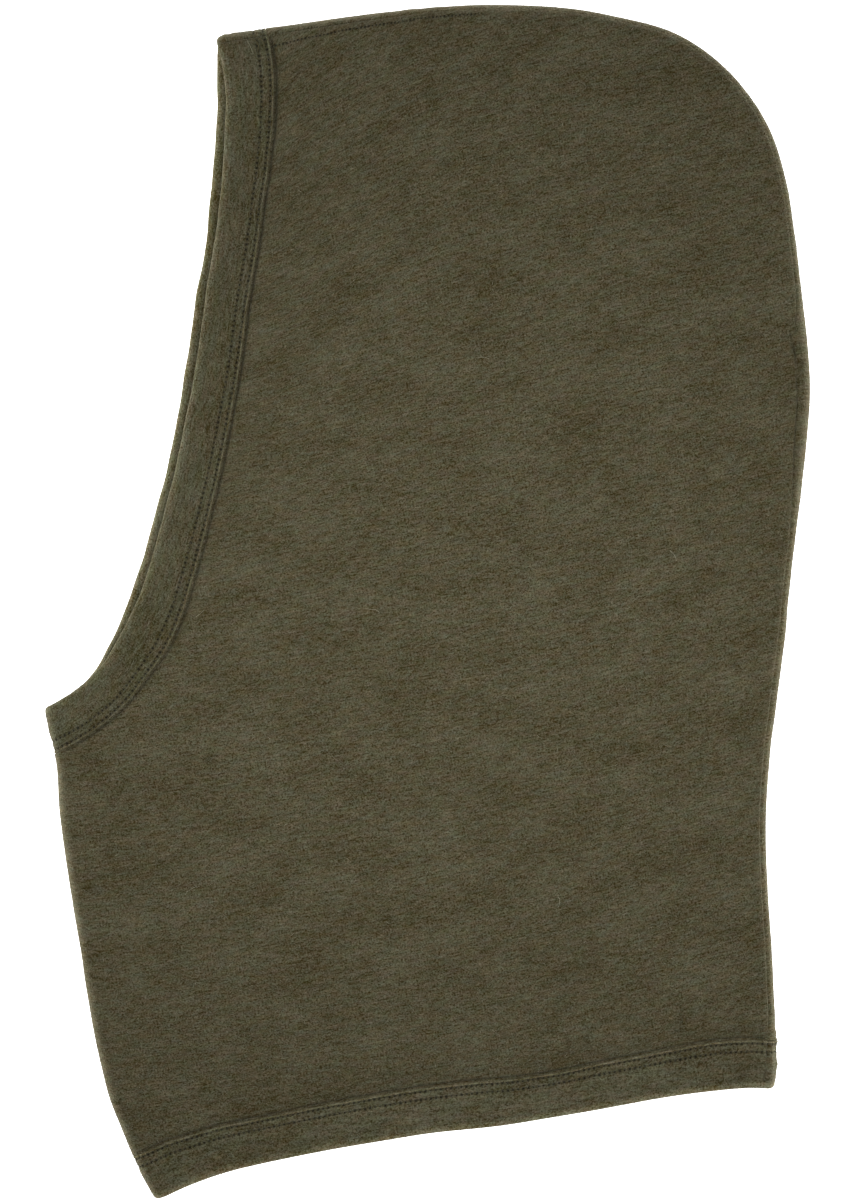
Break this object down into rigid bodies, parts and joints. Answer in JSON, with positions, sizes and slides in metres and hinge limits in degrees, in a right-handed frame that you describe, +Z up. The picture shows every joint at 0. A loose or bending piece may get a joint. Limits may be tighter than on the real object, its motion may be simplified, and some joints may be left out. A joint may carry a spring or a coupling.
{
  "type": "knit hood",
  "caption": "Open-face knit hood in heathered jersey, lying flat on its side, with a folded band round the face and round the neck.",
  "frame": {"origin": "centre of the bounding box, on the surface that the hood lies on", "axes": "+X from the face opening towards the back of the head, +Y from the neck towards the crown, +Z up from the surface"},
  "size_m": [0.3051, 0.4763, 0.0176],
  "materials": {
    "jersey": "heathered olive jersey, matt",
    "band_jersey": "the same jersey folded double in the bands, matt",
    "seam_jersey": "overlocked seam allowance of the same jersey, matt"
  },
  "bodies": {
    "root": {"knit_body": "jersey", "face_band": "band_jersey", "neck_band": "band_jersey", "centre_seam": "seam_jersey"}
  },
  "joints": []
}
